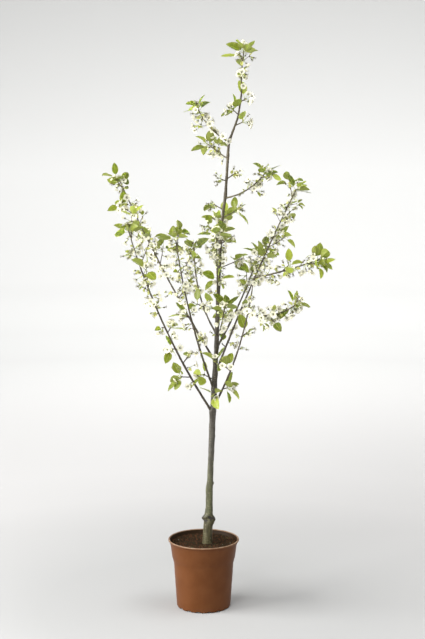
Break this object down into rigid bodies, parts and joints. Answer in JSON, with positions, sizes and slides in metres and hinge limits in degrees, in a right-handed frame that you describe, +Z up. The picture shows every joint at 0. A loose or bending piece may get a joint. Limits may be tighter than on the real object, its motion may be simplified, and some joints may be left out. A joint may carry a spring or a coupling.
{
  "type": "potted fruit tree",
  "caption": "Young cherry tree in spring blossom: a slim grafted trunk that leans to one side, spreading boughs, white blossom and fresh leaves, in a round nursery pot.",
  "frame": {"origin": "centre of the pot's flat underside", "axes": "+Z up along the tree, +X to the viewer's right, +Y away from the viewer"},
  "size_m": [0.7033, 0.4667, 1.7465],
  "materials": {
    "pot": "satin terracotta-brown polypropylene",
    "soil": "moist crumbly potting compost",
    "bark": "grey-brown young cherry bark",
    "leaf_and_blossom": "fresh green leaves and white petals"
  },
  "bodies": {
    "root": {"pot": "pot", "soil": "soil", "trunk": "bark", "left_low_bough": "bark", "left_high_bough": "bark", "left_inner_bough": "bark", "left_twig_bough": "bark", "right_low_bough": "bark", "right_mid_bough": "bark", "right_back_bough": "bark", "right_twig_bough": "bark", "front_bough": "bark", "back_bough": "bark", "upper_right_bough": "bark", "upper_left_bough": "bark", "left_low_mass": "leaf_and_blossom", "left_high_mass": "leaf_and_blossom", "left_inner_mass": "leaf_and_blossom", "left_twig_mass": "leaf_and_blossom", "right_mid_mass": "leaf_and_blossom", "right_back_mass": "leaf_and_blossom", "right_twig_mass": "leaf_and_blossom", "front_mass": "leaf_and_blossom", "back_mass": "leaf_and_blossom", "upper_right_mass": "leaf_and_blossom", "upper_left_mass": "leaf_and_blossom", "upper_left_low_mass": "leaf_and_blossom", "right_spread_mass": "leaf_and_blossom", "right_spray_mass": "leaf_and_blossom", "leader_top_mass": "leaf_and_blossom", "trunk_spur_1_mass": "leaf_and_blossom", "trunk_spur_2_mass": "leaf_and_blossom", "trunk_spur_3_mass": "leaf_and_blossom", "trunk_spur_4_mass": "leaf_and_blossom", "trunk_spur_5_mass": "leaf_and_blossom", "trunk_spur_6_mass": "leaf_and_blossom", "trunk_spur_7_mass": "leaf_and_blossom", "trunk_spur_8_mass": "leaf_and_blossom", "trunk_spur_9_mass": "leaf_and_blossom", "trunk_spur_10_mass": "leaf_and_blossom", "trunk_spur_11_mass": "leaf_and_blossom", "trunk_spur_12_mass": "leaf_and_blossom", "trunk_spur_13_mass": "leaf_and_blossom", "trunk_spur_14_mass": "leaf_and_blossom", "trunk_spur_15_mass": "leaf_and_blossom", "left_low_spur_1_mass": "leaf_and_blossom", "left_low_spur_2_mass": "leaf_and_blossom", "left_low_spur_3_mass": "leaf_and_blossom", "left_low_spur_4_mass": "leaf_and_blossom", "left_high_spur_1_mass": "leaf_and_blossom", "left_high_spur_2_mass": "leaf_and_blossom", "left_inner_spur_1_mass": "leaf_and_blossom", "left_inner_spur_2_mass": "leaf_and_blossom", "left_twig_spur_1_mass": "leaf_and_blossom", "right_low_spur_1_mass": "leaf_and_blossom", "right_low_spur_2_mass": "leaf_and_blossom", "right_low_spur_3_mass": "leaf_and_blossom", "right_mid_spur_1_mass": "leaf_and_blossom", "right_mid_spur_2_mass": "leaf_and_blossom", "right_back_spur_1_mass": "leaf_and_blossom"}
  },
  "joints": []
}
